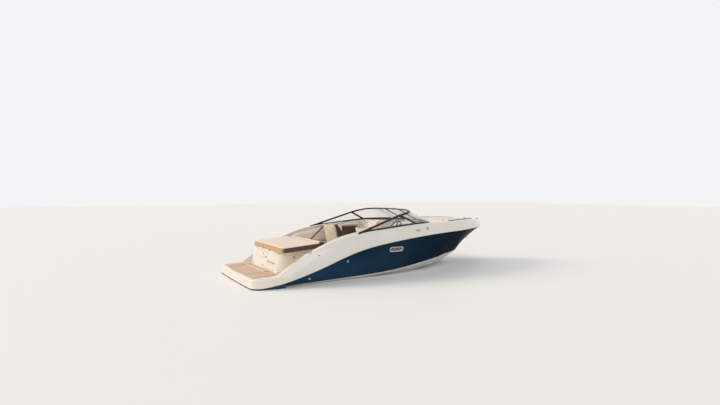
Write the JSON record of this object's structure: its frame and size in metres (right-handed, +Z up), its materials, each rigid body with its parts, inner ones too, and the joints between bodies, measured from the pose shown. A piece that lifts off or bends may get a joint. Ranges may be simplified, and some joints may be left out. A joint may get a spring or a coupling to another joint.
{
  "type": "bowrider speedboat",
  "caption": "Open bow speedboat with a blue side, a wraparound windshield, swivel seats, a sunpad over the engine, a swim platform and a sterndrive.",
  "frame": {"origin": "on the centreline at the waterline, at mid-length", "axes": "+X to the bow, +Y to port, +Z up"},
  "size_m": [6.519, 2.573, 2.1472],
  "materials": {
    "hull_white": "glossy white gelcoat",
    "hull_blue": "glossy dark blue gelcoat",
    "teak": "matt brown decking",
    "cushion_top": "soft matt marine vinyl, light",
    "cushion_brown": "soft matt marine vinyl, dark brown",
    "seat_cream": "soft matt marine vinyl, cream",
    "black_frame": "satin black coated metal",
    "clear_glass": "clear lightly tinted glass",
    "black_plastic": "satin black plastic",
    "bright_metal": "polished stainless steel",
    "drive_paint": "satin dark grey paint",
    "engine_grey": "satin grey paint"
  },
  "bodies": {
    "hull": {"hull_bottom": "hull_white", "hull_topsides": "hull_blue", "deck": "hull_white", "cockpit_liner": "hull_white", "cockpit_sole": "teak", "bow_sole": "teak", "bow_seat_base": "hull_white", "swim_platform": "hull_white", "sunpad_base": "hull_white", "engine": "engine_grey", "bench_base": "hull_white", "bench_cushion": "seat_cream", "bench_backrest": "cushion_brown", "side_pads": "seat_cream", "side_panels": "cushion_brown", "helm_dash": "seat_cream", "port_dash": "seat_cream", "helm_column": "black_plastic", "throttle": "black_plastic", "helm_seat_post": "bright_metal", "companion_seat_post": "bright_metal", "windshield_frame": "black_frame", "windshield_glass": "clear_glass", "bow_cushions": "seat_cream", "bow_bolsters": "seat_cream", "hull_vents": "bright_metal", "through_hulls": "bright_metal", "stern_cleats": "bright_metal", "platform_skirt": "hull_blue", "platform_decking": "teak", "bow_eye": "bright_metal", "gimbal_housing": "drive_paint"},
    "hatch": {"engine_hatch": "hull_white", "sunpad_cushion": "cushion_top"},
    "helm_seat": {"helm_seat_shell": "seat_cream", "helm_seat_pads": "cushion_brown"},
    "companion_seat": {"companion_seat_shell": "seat_cream", "companion_seat_pads": "cushion_brown"},
    "wheel": {"steering_wheel": "black_plastic"},
    "shield_door": {"shield_door_frame": "black_frame", "shield_door_glass": "clear_glass"},
    "anchor_hatch": {"anchor_lid": "hull_white"},
    "gimbal": {"gimbal_ring": "drive_paint"},
    "drive": {"drive_leg": "drive_paint"},
    "prop": {"propeller": "bright_metal"}
  },
  "joints": [
    {"name": "hatch_lift", "type": "hinge", "parent": "hull", "child": "hatch", "pos_m": [-2.555, 0, 0.558], "axis": [0, -1, 0], "range_deg": [0, 60]},
    {"name": "helm_seat_swivel", "type": "hinge", "parent": "hull", "child": "helm_seat", "pos_m": [-0.375, -0.5, 0.36], "axis": [0, 0, 1], "continuous": true},
    {"name": "companion_seat_swivel", "type": "hinge", "parent": "hull", "child": "companion_seat", "pos_m": [-0.64, 0.52, 0.386], "axis": [0, 0, 1], "continuous": true},
    {"name": "wheel_turn", "type": "hinge", "parent": "hull", "child": "wheel", "pos_m": [0.135, -0.575, 0.935], "axis": [-0.848, 0, 0.5299], "range_deg": [-540, 540]},
    {"name": "shield_door_swing", "type": "hinge", "parent": "hull", "child": "shield_door", "pos_m": [1.02, 0.285, 1.07], "axis": [-0.9029, 0, 0.4299], "range_deg": [0, 150]},
    {"name": "anchor_lid_lift", "type": "hinge", "parent": "hull", "child": "anchor_hatch", "pos_m": [2.941, 0, 1.0277], "axis": [0, -1, 0], "range_deg": [0, 100]},
    {"name": "drive_steer", "type": "hinge", "parent": "hull", "child": "gimbal", "pos_m": [-2.775, 0, -0.13], "axis": [0, 0, 1], "range_deg": [-28, 28]},
    {"name": "drive_tilt", "type": "hinge", "parent": "gimbal", "child": "drive", "pos_m": [-2.775, 0, -0.13], "axis": [0, 1, 0], "range_deg": [0, 38]},
    {"name": "prop_spin", "type": "hinge", "parent": "drive", "child": "prop", "pos_m": [-3.085, 0, -0.6], "axis": [1, 0, 0], "continuous": true}
  ]
}
